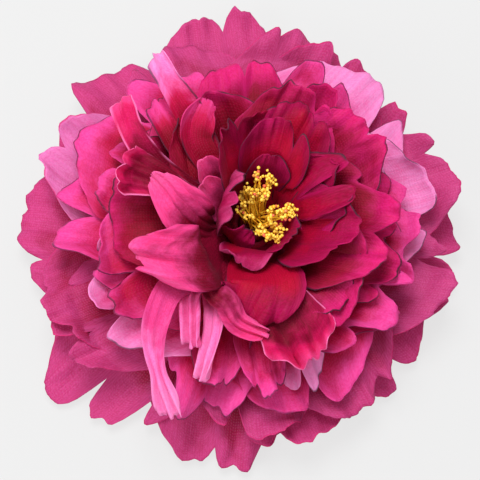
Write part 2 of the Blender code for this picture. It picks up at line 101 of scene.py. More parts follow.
def add_lamp(name, place, size, power):
    data = bpy.data.lights.new(name, "AREA")
    data.energy = power
    data.size = size
    lamp = bpy.data.objects.new(name, data)
    lamp.location = place
    lamp.rotation_euler = (AIM - lamp.location).to_track_quat("-Z", "Y").to_euler()
    bpy.context.scene.collection.objects.link(lamp)


add_lamp("key", *KEY_LIGHT)
add_lamp("left", *LEFT_LIGHT)
world = bpy.data.worlds.new("studio")
world.use_nodes = True
background = world.node_tree.nodes["Background"].inputs
background["Color"].default_value = (1, 1, 1, 1)
background["Strength"].default_value = SURROUND
bpy.context.scene.world = world
bpy.context.scene.view_settings.view_transform = "Standard"

# %% The floor
FLOOR_HALF = 2.0
FLOOR_SHADE = 0.08
FLOOR_ROUGHNESS = 0.9
FLOOR_GLOW = 0.72
# The floor lies just under the cut stem, so that the two faces don't share a plane
FLOOR_DROP = 0.3 * MM


def add_floor():
    shape = bmesh.new()
    bmesh.ops.create_grid(shape, x_segments=1, y_segments=1, size=FLOOR_HALF)
    bmesh.ops.translate(shape, vec=(0, 0, -FLOOR_DROP), verts=shape.verts)
    floor = new_piece("floor", shape)
    material = bpy.data.materials.new("pale floor")
    material.use_nodes = True
    inputs = material.node_tree.nodes["Principled BSDF"].inputs
    inputs["Base Color"].default_value = (FLOOR_SHADE, FLOOR_SHADE, FLOOR_SHADE, 1)
    inputs["Roughness"].default_value = FLOOR_ROUGHNESS
    inputs["Emission Color"].default_value = (1, 1, 1, 1)
    inputs["Emission Strength"].default_value = FLOOR_GLOW
    floor.data.materials.append(material)


add_floor()

# %% [markdown]
# ## The rule for a petal
# Every petal of a whorl could be drawn by hand, but a bloom has dozens of them, and they have to lie
# in layers without cutting through each other. So they follow a family of nested bowls. Bowl 0 is low
# and flat, bowl 8 is the steep cup round the stamens, and a petal on one bowl can't meet a petal on
# another. The frame's solids were made with the same numbers, so the fine petals lie where they are.

# %% The family of bowls
SEED = 11
BOWLS = 8
ROOT_RADIUS = (12.0 * MM, 8.5 * MM)
ROOT_HEIGHT = (8.3 * MM, 28.3 * MM)
BOWL_RISE = (3.0 * MM, 38.0 * MM)
BOWL_BEND = (16.0 * MM, 10.0 * MM)
BOWL_FALL = (-0.13, -0.03)
LEAN = Vector((10.5 * MM, 4.5 * MM))
LEAN_HEIGHT = 60.0 * MM
LEAN_POWER = 1.2
OVAL_TURN = math.radians(18)
OVAL_SQUEEZE = 0.28
OVAL_RADIUS = 20.0 * MM
NEAR = 0.01 * MM


def mix(pair, share):
    return pair[0] + (pair[1] - pair[0]) * share


def smooth(share):
    share = min(1.0, max(0.0, share))
    return share * share * (3 - 2 * share)


def late(share, start):
    """0 up to the start, and from there a smooth rise to 1 at the end."""
    return smooth((share - start) / (1 - start))


def bowl_height(bowl, radius):
    share = bowl / BOWLS
    out = max(0.0, radius - mix(ROOT_RADIUS, share))
    curve = mix(BOWL_RISE, share) * (1 - math.exp(-out / mix(BOWL_BEND, share)))
    return mix(ROOT_HEIGHT, share) + curve + mix(BOWL_FALL, share) * out


def bowl_slope(bowl, radius):
    return (bowl_height(bowl, radius + NEAR) - bowl_height(bowl, radius - NEAR)) / (2 * NEAR)


def placed(radius, height, turn):
    """A point in the frame, with the oval of the cup and the bloom's lean."""
    inner = math.exp(-((radius / OVAL_RADIUS) ** 2))
    squeeze = 1 - OVAL_SQUEEZE * smooth(height / LEAN_HEIGHT) * inner
    along = radius * math.cos(turn - OVAL_TURN) * squeeze
    aside = radius * math.sin(turn - OVAL_TURN)
    x = along * math.cos(OVAL_TURN) - aside * math.sin(OVAL_TURN)
    y = along * math.sin(OVAL_TURN) + aside * math.cos(OVAL_TURN)
    lean = LEAN * (max(0.0, height) / LEAN_HEIGHT) ** LEAN_POWER
    return Vector((x + lean.x, y + lean.y, height))


# %% [markdown]
# A petal starts as a curve from its root to its rim, which follows its bowl and then curls. Its width
# opens from a narrow claw to a fan. The rim is ruffled, cupped and cut with a few notches. In the
# frame the notches are plain wedges, because each petal there has few faces. Here they are narrow
# clefts between round lobes, as scissors and heat leave them on fabric.

# %% The petal's midrib
ROOT_SINK = 2.4 * MM
STEP = 0.5 * MM
LEAST_RADIUS = 2 * MM
CURL_START = 0.5
LIP_START = 0.84


def midrib(petal):
    """Points (radius, height, slope angle) from a petal's root to its rim, STEP apart."""
    radius = mix(ROOT_RADIUS, petal.bowl / BOWLS) - ROOT_SINK
    height = bowl_height(petal.bowl, radius)
    length = 0.0
    walk = radius
    while walk < petal.reach:
        walk += STEP / math.hypot(1, bowl_slope(petal.bowl, walk))
        length += STEP
    points = []
    travelled = 0.0
    while travelled <= length + STEP:
        share = travelled / length
        turned = petal.curl * late(share, CURL_START) + petal.lip * late(share, LIP_START)
        angle = math.atan(bowl_slope(petal.bowl, max(radius, LEAST_RADIUS))) + math.radians(turned)
        points.append((radius, height, angle))
        radius += STEP * math.cos(angle)
        height += STEP * math.sin(angle)
        travelled += STEP
    return points


# %% The petal's rim and relief
ROUNDING = 0.32
ROUNDING_POWER = 2.7
CLEFT_WIDTH = 0.24
CLEFT_DEPTH = 1.5
CLEFT_POWER = 2.2
# Waves across the petal and their depth, first of an even wave and then of two uneven ones
EVEN_WAVE = (8, 0.014)
UNEVEN_WAVES = ((9, 0.018), (18, 0.009))
LOBE_START = 0.55
LOBE_LIFT = 1.4 * MM
# Multiples of a petal's phase, and a step from lobe to lobe, that give the lobes their levels
LOBE_LEVELS = (5, 7, 2.6)
FRILL_START = 0.60
FRILL_WAVES = (5.5, 3)
FRILL = 3.0 * MM
RUFFLE_GAIN = 1.35
CUP_GAIN = 4
PLEAT_WAVES = 5
PLEAT_END = 1.2
BROAD = 14.0 * MM
CLAW_WIDTH = 0.26
FAN_START = 0.72


def rim_share(petal, across, rounding=ROUNDING):
    """How far along the petal its rim lies: round lobes with narrow clefts between them."""
    rounded = 1 - rounding * abs(across) ** ROUNDING_POWER
    near_clefts = [max(0.0, 1 - abs(across - place) / CLEFT_WIDTH) for place in petal.notches]
    cleft = max(near_clefts) ** CLEFT_POWER
    ragged = EVEN_WAVE[1] * math.sin(EVEN_WAVE[0] * across + petal.phase)
    for waves, depth in UNEVEN_WAVES:
        ragged += depth * noise.noise((waves * across, petal.phase, 0))
    return rounded - CLEFT_DEPTH * petal.notch * cleft * rounding / ROUNDING + ragged


def lobe_lift(petal, across, share):
    """Each lobe between two clefts stands a little higher or lower than its neighbour."""
    first, others, apart = LOBE_LEVELS
    level = math.sin(first * petal.phase)
    for n, place in enumerate(petal.notches):
        step = math.sin(others * petal.phase + apart * (n + 1)) - level
        level += step * smooth((across - place) / CLEFT_WIDTH + 0.5)
    return level * late(share, LOBE_START)


def relief(petal, half_width, across, share):
    """How far the petal stands off its middle surface: the ruffled rim, the cup and the pleats."""
    wave = math.sin(math.pi * petal.waves * across + petal.phase)
    frill = noise.noise((FRILL_WAVES[0] * across, FRILL_WAVES[1] * share, petal.phase))
    frill *= late(share, FRILL_START)
    broad = min(1.0, half_width / BROAD)
    lift = RUFFLE_GAIN * petal.ruffle * share**3 * wave
    lift += broad**2 * (LOBE_LIFT * lobe_lift(petal, across, share) + FRILL * frill)
    lift += petal.cup * half_width * across**2 * CUP_GAIN * share**2
    return lift + petal.pleat * math.cos(PLEAT_WAVES * math.pi * across) * share * (PLEAT_END - share)


def width_share(along):
    """Half width along the petal as a share of the widest: a narrow claw that opens to a fan."""
    return mix((CLAW_WIDTH, 1), smooth(along / FAN_START))


# %% The surface of a whorl's petal
NODE_GAP = 1.1 * MM
COVER_SLOPE = 1.2
LEAST_TURN_RADIUS = 5 * MM
WIDEST_FLARE = 1.1


def petal_point(petal, line, across, share):
    """A point (radius, height, turn) of a petal, for a share of the way along its midrib."""
    place = share * (len(line) - 1)
    low = min(int(place), len(line) - 2)
    part = place - low
    radius, height, angle = (mix(ends, part) for ends in zip(line[low], line[low + 1]))
    side = across * petal.half_width * width_share(share)
    roll = math.radians(petal.tilt + petal.twist * share**2)
    lift = relief(petal, petal.half_width, across, share) + side * math.sin(roll)
    side *= math.cos(roll)
    turn = side / max(radius, LEAST_TURN_RADIUS)
    spread = 1 / math.cos(max(-WIDEST_FLARE, min(WIDEST_FLARE, turn)))
    flared = radius * (1 + petal.flare * (spread - 1))
    height += bowl_height(petal.bowl, flared) - bowl_height(petal.bowl, radius)
    flared -= lift * math.sin(angle)
    height += lift * math.cos(angle)
    return flared, height, math.radians(petal.turn) + turn + petal.skew * share


def between(radius, height, node):
    """The point moved square to the bowls until it is clear of the nodes on either side."""
    for bowl, side in ((node.low, 1), (node.high, -1)):
        if bowl is None:
            continue
        slope = bowl_slope(bowl, radius)
        square = math.hypot(1, slope)
        clear = side * (height - bowl_height(bowl, radius)) / square - NODE_GAP
        if side < 0:
            # Past the radius that the node above covers, a petal is free to rise
            clear += COVER_SLOPE * max(0.0, radius - node.covered)
        if clear < 0:
            radius += side * clear * slope / square
            height -= side * clear / square
    return radius, height


def petal_surface(petal, node):
    """A function from (across, along) to a point of a whorl's petal."""
    line = midrib(petal)

    def point(across, along):
        radius, height, turn = petal_point(petal, line, across, along * rim_share(petal, across))
        radius, height = between(radius, height, node)
        return placed(radius, height, turn)

    return point


# %% [markdown]
# The petals of the cup and of the open front don't repeat, so each is a strap through a few stations.
# A station is a point of the midrib with a half width, and a smooth curve runs through them all.

# %% The surface of a strap
STRAP_ROOT_HALF_WIDTH = 4.0 * MM
STRAP_KNEE = 5.0 * MM
STRAP_ROOT_FACING = 20
STRAP_ROUNDING = 1.4
CURVE_STEP = 0.02


def on_curve(stations, share):
    """The point at a share of the way along a smooth curve through the stations."""
    last = len(stations) - 1
    place = min(max(share, 0.0), 1.0) * last
    low = min(int(place), last - 1)
    part = place - low
    before, start, end, after = (stations[min(max(low + n, 0), last)] for n in (-1, 0, 1, 2))
    return 0.5 * (
        2 * start
        + (end - before) * part
        + (2 * before - 5 * start + 4 * end - after) * part**2
        + (3 * start - before - 3 * end + after) * part**3
    )


def direction(turn, height):
    turn = math.radians(turn)
    height = math.radians(height)
    level = math.cos(height)
    return Vector((math.cos(turn) * level, math.sin(turn) * level, math.sin(height)))


def strap_surface(strap, node):
    """A function from (across, along) to a point of a strap."""
    bowl = node.low + 1
    radius = mix(ROOT_RADIUS, bowl / BOWLS) - ROOT_SINK
    stations = []
    for out in (radius, radius + STRAP_KNEE):
        point = placed(out, bowl_height(bowl, out), math.radians(strap.root))
        stations.append(Vector((*point, STRAP_ROOT_HALF_WIDTH)))
    stations += [Vector(station) * MM for station in strap.stations]
    root_face = direction(strap.root + 180, STRAP_ROOT_FACING)
    tip_face = direction(*strap.facing)
    strap = strap._replace(ruffle=strap.ruffle * MM, pleat=strap.pleat * MM)
    length = sum((end - start).to_3d().length for start, end in zip(stations, stations[1:]))
    rounding = STRAP_ROUNDING * max(station.w for station in stations) / length

    def point(across, along):
        share = along * rim_share(strap, across, rounding)
        here = on_curve(stations, share)
        ahead = on_curve(stations, share + CURVE_STEP)
        tangent = (ahead - on_curve(stations, share - CURVE_STEP)).to_3d().normalized()
        face = root_face.lerp(tip_face, share)
        side = tangent.cross(face).normalized()
        out = side.cross(tangent)
        lift = relief(strap, here.w, across, share)
        return here.to_3d() + side * across * here.w + out * lift

    return point


# %% [markdown]
# ## The whorls
# The table gives each whorl's bowl, reach and habit, and the turn of each petal, from the outermost
# whorl in. The draws that make each petal differ are seeded, so the bloom is the same every time.

# %% The nodes and the whorls
# A node lies between two bowls, and is covered by the next one in up to a radius
Node = namedtuple("Node", "name low high covered")
NODES = (
    Node("guard_petals", 0, 2, 62 * MM),
    Node("outer_petals", 2, 4, 49 * MM),
    Node("middle_petals", 4, 6, 35 * MM),
    Node("inner_petals", 6, None, 0),
)
# A petal's place is its turn in degrees, and where they differ from the whorl's, reach and half width.
# pale holds the numbers of the pale petals, whose pale tips are partly painted sheen.
Whorl = namedtuple("Whorl", "piece node satin pale bowl reach half_width curl ruffle cup tilt flare petals")
WHORLS = (
    Whorl("guard_whorl_low", "guard_petals", "guard", (), 0.5, 75, 27, -2, 1.6, 0.00, 3, 0.6,
        ((92, 82), (134, 78), (181, 76), (229, 83), (258, 78), (290, 71), (325, 71), (0, 74), (45, 71))),
    Whorl("guard_whorl_high", "guard_petals", "guard", (1,), 1.5, 69, 24, 10, 1.8, 0.03, 5, 0.6,
        ((112, 73), (160, 74), (200, 71), (216, 72), (273, 67), (306, 69), (341, 69), (21, 71), (60, 72),
         (78, 73))),
    Whorl("outer_whorl_low", "outer_petals", "outer", (3, 7, 8), 2.5, 62, 25, 18, 1.8, 0.05, 6, 0.5,
        ((99,), (139,), (180,), (214,), (255, 62, 16), (296,), (336,), (14,), (54,))),
    Whorl("outer_whorl_high", "outer_petals", "outer", (6, 9), 3.5, 55, 24, 20, 1.7, 0.07, 7, 0.4,
        ((77,), (119,), (158,), (200,), (251, 56, 10), (269, 57, 9), (285, 56, 11), (316,), (356,),
         (36,))),
    Whorl("middle_whorl_low", "middle_petals", "middle", (), 4.5, 49, 23, 14, 1.6, 0.07, 8, 0.3,
        ((100,), (140,), (180,), (294,), (334,), (14,), (58,))),
    Whorl("middle_whorl_high", "middle_petals", "middle", (), 5.5, 42, 21, 4, 1.5, 0.07, 8, 0.2,
        ((78,), (126,), (312,), (352,), (36,))),
    Whorl("inner_whorl", "inner_petals", "inner", (), 6.7, 33, 17, -4, 1.2, 0.06, 8, 0.1,
        ((68,), (112,), (336,), (20,))),
)
Petal = namedtuple(
    "Petal",
    "turn bowl reach half_width curl lip ruffle waves phase cup tilt twist flare notch notches skew pleat",
)
NOTCH_PLACES = ((0,), (-1 / 3,), (1 / 3,), (-1 / 3, 1 / 3), (-2 / 3, 0), (0, 2 / 3))


def grown_petal(whorl, place, draw):
    """One petal with its own small departures from the whorl. Outer petals have the deeper notches."""
    usual = (whorl.reach * draw.uniform(0.88, 1.05), whorl.half_width)
    turn, reach, half_width = place + usual[len(place) - 1:]
    return Petal(
        turn=turn + draw.uniform(-2, 2),
        bowl=whorl.bowl + draw.uniform(-0.25, 0.25),
        reach=reach * MM,
        half_width=half_width * draw.uniform(0.88, 1.12) * MM,
        curl=whorl.curl + draw.uniform(-24, 30),
        lip=draw.choice((-50, -25, 0, 15, 35)),
        ruffle=whorl.ruffle * draw.uniform(0.4, 1.3) * MM,
        waves=draw.choice((1.5, 2, 2.5)),
        phase=draw.uniform(0, 2 * math.pi),
        cup=whorl.cup + draw.uniform(-0.05, 0.06),
        tilt=whorl.tilt + draw.uniform(-4, 4),
        twist=draw.uniform(-14, 14),
        flare=whorl.flare,
        notch=draw.uniform(0.02, 0.13) * (2 - whorl.bowl / WHORLS[-1].bowl),
        notches=draw.choice(NOTCH_PLACES),
        skew=draw.uniform(-0.10, 0.10),
        pleat=draw.uniform(0, 0.3) * MM,
    )


draw = random.Random(SEED)
whorls = [[grown_petal(whorl, place, draw) for place in whorl.petals] for whorl in WHORLS]
print("the whorls have", [len(petals) for petals in whorls], "petals")

# %% The straps
# root is the turn of the root, a station is (x, y, z, half width) in millimetres, and facing is the
# turn and the height of the direction that the tip faces
Strap = namedtuple(
    "Strap", "root stations facing ruffle waves phase cup notch notches pleat", defaults=((0,), 0)
)
CUP_STRAPS = (
    # The left wall, the small petal behind the stamens and the large ones behind and right
    Strap(185, ((-7, 3, 38, 9), (-5, 7, 48, 14), (-1.5, 9, 55, 17)), (0, 35), 1.2, 1.5, 0.4, 0.15, 0.05),
    Strap(80, ((8, 14, 38, 6), (9, 17, 46, 7.5), (10, 20, 51, 6)), (270, 50), 0.8, 1.5, 1.4, 0.2, 0.05),
    Strap(60, ((9, 15, 40, 9), (12, 22, 51, 13), (14, 29, 57, 12)), (265, 55), 1.4, 2.0, 0.9, 0.2, 0.1,
        (1 / 3,)),
    Strap(15, ((17, 7, 38, 10), (24, 9, 49, 17), (35, 12, 55, 19)), (190, 70), 1.5, 2.0, 2.4, 0.15, 0.14,
        (0, 2 / 3)),
    # The right front wall, and the front lip that rolls out
    Strap(320, ((13, -4, 37, 7), (15, -5.5, 43, 9.5), (17.5, -6.5, 48, 9.5)), (140, 60), 0.8, 1.5, 0.4,
        0.2, 0.05),
    Strap(250, ((2, -8, 38, 8), (2, -10.5, 43, 9.5), (1.5, -12.5, 45, 9.5), (0.5, -14, 43.5, 9)),
        (245, 50), 1.0, 1.5, 2.0, 0.1, 0.04),
    # The small petal that hides the foot of the stamens
    Strap(228, ((-2.5, -5, 35, 5.5), (-0.5, -4, 40, 7.5), (2.5, -2.5, 43.5, 7.5)), (45, 40), 0.8, 1.5,
        0.9, 0.1, 0.04),
    # The broad smooth petal in front of the cup
    Strap(262, ((4, -13, 38, 8), (7, -18, 45, 13), (7, -22, 48, 16), (5, -27, 47.5, 16),
        (3, -31, 44, 15)), (240, 75), 0.8, 1.5, 0.4, -0.04, 0.02),
)
FOLD_STRAPS = (
    # The broad fold that arches over to the left, and the pleated petal behind it
    Strap(205, ((-9.5, -12, 42, 8), (-10.5, -14, 52, 10), (-15, -14.5, 56.5, 10), (-23, -14, 57, 9.5),
        (-33, -11, 52.5, 8)), (235, 65), 1.4, 2.5, 0.4, -0.05, 0.04, (-1 / 2,)),
    Strap(180, ((-8, -1, 37, 6), (-13, -1, 45, 7), (-19, 4, 51, 8), (-27, 13, 54, 5)), (225, 60), 0.6,
        1.5, 0.4, 0.1, 0.02, (0,), 1.0),
    # Two small petals that stand up behind the pleated one
    Strap(135, ((-5, 10, 38, 4), (-9, 15, 45, 5), (-12, 19, 50, 4)), (300, 70), 0.6, 1.5, 1.0, 0.1,
        0.03),
    Strap(155, ((-6, 5, 38, 4.5), (-9, 8.5, 44, 5.5), (-12, 11, 49, 5)), (300, 70), 0.6, 1.5, 2.0, 0.1,
        0.03),
    # The ruffled ribbon under the smooth petal
    Strap(238, ((-7, -17, 41, 4), (-8, -23, 46.5, 4), (-4, -27, 47, 4), (0, -33, 46, 3.5),
        (9, -36, 45, 3)), (240, 60), 1.4, 2.5, 0.4, 0.1, 0.05),
)
UPRIGHT_STRAPS = (
    # Long petals at the back left, from the middle outwards
    Strap(115, ((-6, 15, 41, 4), (-13, 24, 47, 5), (-13, 30, 51, 5.5), (-10, 37, 52.5, 4)), (270, 60),
        0.8, 1.5, 0.4, 0.15, 0.04),
    Strap(112, ((-7, 17, 43, 4), (-14, 30, 49.5, 4.5), (-19, 38, 53, 4.5), (-24, 46.5, 53, 4),
        (-27.5, 52.5, 51, 3)), (200, 65), 0.8, 1.5, 1.4, 0.1, 0.04),
    Strap(128, ((-11, 14, 41, 4), (-19, 25, 46, 5), (-23, 32, 48, 5.5), (-26.5, 39, 46.5, 5)), (300, 70),
        0.8, 2.0, 2.4, 0.1, 0.10),
)
RIM_HIGHLIGHT_STRAPS = (
    # Petals that stand up with a painted highlight on their rims: two on the left and one in front on the
    # right
    Strap(145, ((-15, 10, 41, 4), (-27, 18, 46, 4), (-33, 26, 49, 4.2), (-36, 34, 48.5, 4.5),
        (-37, 39, 46, 4)), (230, 60), 0.6, 1.5, 0.9, 0.15, 0.03),
    Strap(160, ((-16, 7, 45, 4), (-25, 11, 50, 5), (-32, 13.5, 51.5, 7), (-35, 14, 53.5, 8),
        (-37, 14.5, 55, 8)), (330, 55), 2.0, 3.0, 0.4, 0.05, 0.05, (1 / 3,)),
    Strap(300, ((9, -17, 40, 6), (14, -29, 43, 10), (18, -36, 43.5, 12), (20, -41, 47, 12),
        (22, -45, 49, 11)), (120, 55), 2.4, 3.0, 1.4, 0.05, 0.05, (-1 / 3,)),
)
RIBBON_STRAPS = (
    # The long petal on edge that twists on its way down, and the narrow ones beside it
    Strap(228, ((-14, -16, 38, 6), (-22, -23, 46, 4.5), (-26, -33, 46, 4.2), (-26.5, -41, 43, 3.2),
        (-25, -48, 41, 2.5), (-23, -54, 39, 4), (-20, -61, 36, 5)), (200, 60), 1.0, 2.5, 0.4, 0.1, 0.05),
    Strap(236, ((-12, -17, 38, 4), (-15, -24, 45, 3.5), (-15, -32, 44, 3.5), (-14.5, -40, 41, 3.5)),
        (180, 55), 1.4, 2.5, 1.4, 0.1, 0.05),
    Strap(246, ((-8, -17, 37, 4), (-7.5, -28, 43, 4), (-9, -39, 41, 3.5), (-12, -50, 38, 3)), (170, 55),
        1.2, 2.5, 2.4, 0.1, 0.05),
)

# %% [markdown]
# ## Thin petals
# A sheet of small faces is moved onto the petal's surface, point by point. Real petals are never that
# smooth, so noise crumples them: slow swells, and fine ridges that run from the claw to the rim. The
# sheet's own coordinates are kept as attributes, because the colour, the veins and the weave follow
# the petal and not the room. A Solidify modifier then gives the thickness of thin fabric.

# %% Sheets
SHEET_COLUMNS = 52
SHEET_ROWS = 40
FABRIC = 0.30 * MM
# The height of each kind of noise and its size, for the ridges across and along the petal
SWELL = (1.3 * MM, 13.0 * MM)
CREASE = (0.35 * MM, 4.5 * MM)
RIDGE = (0.25 * MM, 2.2 * MM, 30.0 * MM)
SWELL_START = 30 * MM
RIDGE_START = 20 * MM
SALT = (71, 37, 53)
LAYERS = ("along", "rim", "tone")
PLAIN_TONES = (0.0, 0.65)
PALE_TONE = 0.98


def crumple(place, across, along, salt, broad):
    """How far a point of a petal moves square to it. A narrow petal has lower ridges."""
    swell = SWELL[0] * noise.noise(place / SWELL[1] + salt)
    crease = CREASE[0] * noise.noise(place / CREASE[1] - salt)
    ridge = RIDGE[0] * noise.noise(Vector((across / RIDGE[1], along / RIDGE[2], salt.x)))
    return (swell + crease) * smooth(along / SWELL_START) + broad * ridge * smooth(along / RIDGE_START)


def write_layers(shape, sheet, half_width, length, tone):
    """The share of the way along, the distance to the rim in millimetres, the tone and the map."""
    along_layer, rim_layer, tone_layer = (shape.verts.layers.float[layer] for layer in LAYERS)
    petal_map = shape.loops.layers.uv["petal"]
    for vertex, (across, along) in sheet.items():
        to_side = (1 - abs(across)) * half_width * width_share(along)
        vertex[along_layer] = along
        vertex[rim_layer] = min((1 - along) * length, to_side) / MM
        vertex[tone_layer] = tone
        for loop in vertex.link_loops:
            loop[petal_map].uv = (across * half_width, along * length)


def add_sheet(shape, surface, half_width, tone):
    """One petal added to a bmesh that holds the layers along, rim and tone, and the map petal."""
    made = bmesh.ops.create_grid(shape, x_segments=SHEET_COLUMNS, y_segments=SHEET_ROWS, size=1)["verts"]
    sheet = {vertex: (vertex.co.x, (vertex.co.y + 1) / 2) for vertex in made}
    length = (surface(0, 1) - surface(0, 0.5)).length + (surface(0, 0.5) - surface(0, 0)).length
    for vertex, (across, along) in sheet.items():
        vertex.co = surface(across, along)
    write_layers(shape, sheet, half_width, length, tone)
    for face in {face for vertex in made for face in vertex.link_faces}:
        face.smooth = True
        face.normal_update()
    for vertex in made:
        vertex.normal_update()
    salt = Vector([tone * step for step in SALT])
    broad = min(1.0, half_width / BROAD) ** 2
    for vertex, (across, along) in sheet.items():
        height = crumple(vertex.co, across * half_width, along * length, salt, broad)
        vertex.co += vertex.normal * height


def petal_piece(name, node, sheets, pale=(), thickness=FABRIC):
    """A piece of petals. sheets holds (surface, half width) pairs, and pale the numbers of pale ones."""
    shape = bmesh.new()
    for layer in LAYERS:
        shape.verts.layers.float.new(layer)
    shape.loops.layers.uv.new("petal")
    draw = random.Random(name)
    for n, (surface, half_width) in enumerate(sheets):
        tone = draw.uniform(*PLAIN_TONES)
        add_sheet(shape, surface, half_width, PALE_TONE if n in pale else tone)
    piece = new_piece(name, shape)
    wall = piece.modifiers.new("fabric", "SOLIDIFY")
    wall.thickness = thickness
    wall.offset = 0
    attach(piece, "root")
    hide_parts(node)
    print(name, "has", len(sheets), "petals and", len(piece.data.polygons), "faces")
    return piece


# %% The whorls of petals
node_of = {node.name: node for node in NODES}
# Each piece of petals with the name of its satin
dressed = []
for whorl, petals in zip(WHORLS, whorls):
    node = node_of[whorl.node]
    sheets = [(petal_surface(petal, node), petal.half_width) for petal in petals]
    dressed.append((petal_piece(whorl.piece, node.name, sheets, whorl.pale), whorl.satin))

# %% The cup, the folds and the ribbons
STRAP_PIECES = (
    ("cup_petals", "inner_petals", "inner", (0, 5), CUP_STRAPS),
    ("fold_petals", "inner_petals", "fold", (), FOLD_STRAPS),
    ("upright_petals", "inner_petals", "outer", (1,), UPRIGHT_STRAPS),
    ("rimmed_petals", "inner_petals", "rimmed", (), RIM_HIGHLIGHT_STRAPS),
    ("ribbon_petals", "middle_petals", "ribbon", (), RIBBON_STRAPS),
)
for name, node, satin, pale, straps in STRAP_PIECES:
    sheets = []
    for strap in straps:
        half_width = max(station[3] for station in strap.stations) * MM
        sheets.append((strap_surface(strap, node_of[node]), half_width))
    dressed.append((petal_piece(name, node, sheets, pale), satin))

# %% [markdown]
# ## The petal bases
# At the middle of the bloom the petals' claws are packed round the swollen end of the stem. The frame
# has a ring for each pair of whorls there. They could be left out, because petals hide them from
# above, but from below and between the sepals they show. A turned profile is enough.

# %% The petal bases
CALYX_HEIGHT = 7.8 * MM
CORE_FOOT = 6.5 * MM
CORE_TOP = 4.5 * MM
SEAT_GAP = 0.3 * MM
HUB_SHRINK = 0.6 * MM
HUB_RIBS = (12, 0.025)
HUB_FOOT_BEVEL = 1.2 * MM
HUB_TOP_BEVEL = (0.8 * MM, 1.0 * MM)
TURN_STEPS = 72
MERGE = 0.01 * MM


def core_radius(height):
    share = (height - CALYX_HEIGHT) / (ROOT_HEIGHT[1] - CALYX_HEIGHT)
    return mix((CORE_FOOT, CORE_TOP), min(1.0, max(0.0, share)))


def spin(shape, profile, ribs=(0, 0.0)):
    """A closed (radius, height) outline spun round the bloom's axis, with a number of low ribs."""
    corners = [shape.verts.new((radius, 0, height)) for radius, height in profile]
    edges = []
    for start, end in zip(corners, corners[1:] + corners[:1]):
        if start.co.x or end.co.x:
            edges.append(shape.edges.new((start, end)))
    before = set(shape.verts) - set(corners)
    bmesh.ops.spin(
        shape, geom=corners + edges, axis=(0, 0, 1), cent=(0, 0, 0),
        angle=2 * math.pi, steps=TURN_STEPS, use_merge=True,
    )
    made = [vertex for vertex in shape.verts if vertex not in before]
    bmesh.ops.remove_doubles(shape, verts=made, dist=MERGE)
    made = [vertex for vertex in shape.verts if vertex not in before]
    for vertex in made:
        x, y, z = vertex.co
        turn = math.atan2(y, x)
        vertex.co = placed(math.hypot(x, y) * (1 + ribs[1] * math.cos(ribs[0] * turn)), z, turn)
    bmesh.ops.recalc_face_normals(shape, faces=shape.faces)
    for face in shape.faces:
        face.smooth = True


def solid_piece(name, shape, slot, *nodes):
    piece = new_piece(name, shape)
    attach(piece, "root")
    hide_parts(*nodes)
    print(name, "has", len(piece.data.polygons), "faces")
    return piece


def petal_bases():
    shape = bmesh.new()
    for node in NODES:
        low = node.low / BOWLS
        high = (node.low + 2) / BOWLS
        foot = mix(ROOT_HEIGHT, low)
        top = mix(ROOT_HEIGHT, high) - SEAT_GAP
        inner = core_radius(foot) + SEAT_GAP
        outer = mix(ROOT_RADIUS, low) - HUB_SHRINK
        upper = mix(ROOT_RADIUS, high) - HUB_SHRINK
        profile = (
            (inner, foot), (outer - HUB_FOOT_BEVEL, foot), (outer, foot + HUB_FOOT_BEVEL),
            (upper, top - HUB_TOP_BEVEL[1]), (upper - HUB_TOP_BEVEL[0], top),
            (core_radius(top) + SEAT_GAP, top),
        )
        spin(shape, profile, HUB_RIBS)
    return solid_piece("petal_bases", shape, "petals", *(node.name for node in NODES))


bases = petal_bases()

# %% [markdown]
# ## The stamens
# A peony's stamens are a dense tuft of thin gold stalks that carry the anthers. The photograph shows
# them in clumps, with bunches of round beads, a few of them coral, and some stalks that bow aside.
# Each stalk is a thin tube along a bowed curve, and each bead is a sphere of about 1 mm.

# %% The stamens
# A clump has a number of stalks with a number of beads each. The rest is in millimetres.
Clump = namedtuple("Clump", "stalks beads place spread height")
CLUMPS = (
    # Behind the middle of the tuft, on its left, on its right, and in front
    Clump(24, 4, (5.6, 11.0), (5.0, 5.0), (41.5, 48.5)),
    Clump(22, 2, (2.0, 5.5), (3.4, 5.0), (38.5, 45.5)),
    Clump(16, 6, (13.6, 2.4), (4.4, 3.0), (42.0, 46.0)),
    Clump(18, 5, (10.0, -3.4), (4.0, 3.6), (40.0, 45.0)),
)
STALK_RADIUS = 0.24 * MM
STALK_SIDES = 5
STALK_RINGS = 8
STAMEN_BASE = 5.6 * MM
STAMEN_BASE_THICKNESS = 2.0 * MM
STAMEN_BASE_BEVEL = 1 * MM
STALK_SINK = 0.6 * MM
STALK_INSET = 1.6 * MM
STALK_BEND = 0.55
STALK_BOW = 1.8 * MM
STALK_RISE = 1.5
BEAD_RADIUS = (0.42 * MM, 0.62 * MM)
CLUSTER = 1.15 * MM
CLUSTER_DROP = (-1.2, 0.6)
CORAL_SHARE = 0.08
CORAL_EDGE = 0.02


def inside_disc(draw):
    turn = draw.uniform(0, 2 * math.pi)
    reach = math.sqrt(draw.random())
    return reach * math.cos(turn), reach * math.sin(turn)


def stalk_line(clump, draw):
    """Points from the foot of a stalk on the base to its end in a clump."""
    foot = ROOT_HEIGHT[1] + SEAT_GAP + STALK_SINK
    across, aside = inside_disc(draw)
    radius = (STAMEN_BASE - STALK_INSET) * math.hypot(across, aside)
    start = placed(radius, foot, math.atan2(aside, across))
    across, aside = inside_disc(draw)
    x = clump.place[0] + clump.spread[0] * across
    y = clump.place[1] + clump.spread[1] * aside
    end = Vector((x, y, draw.uniform(*clump.height))) * MM
    bow = Vector((draw.uniform(-1, 1), draw.uniform(-1, 1), STALK_RISE)) * STALK_BOW
    bend = start.lerp(end, STALK_BEND) + bow
    points = []
    for k in range(STALK_RINGS):
        part = k / (STALK_RINGS - 1)
        points.append(start.lerp(bend, part).lerp(bend.lerp(end, part), part))
    return points


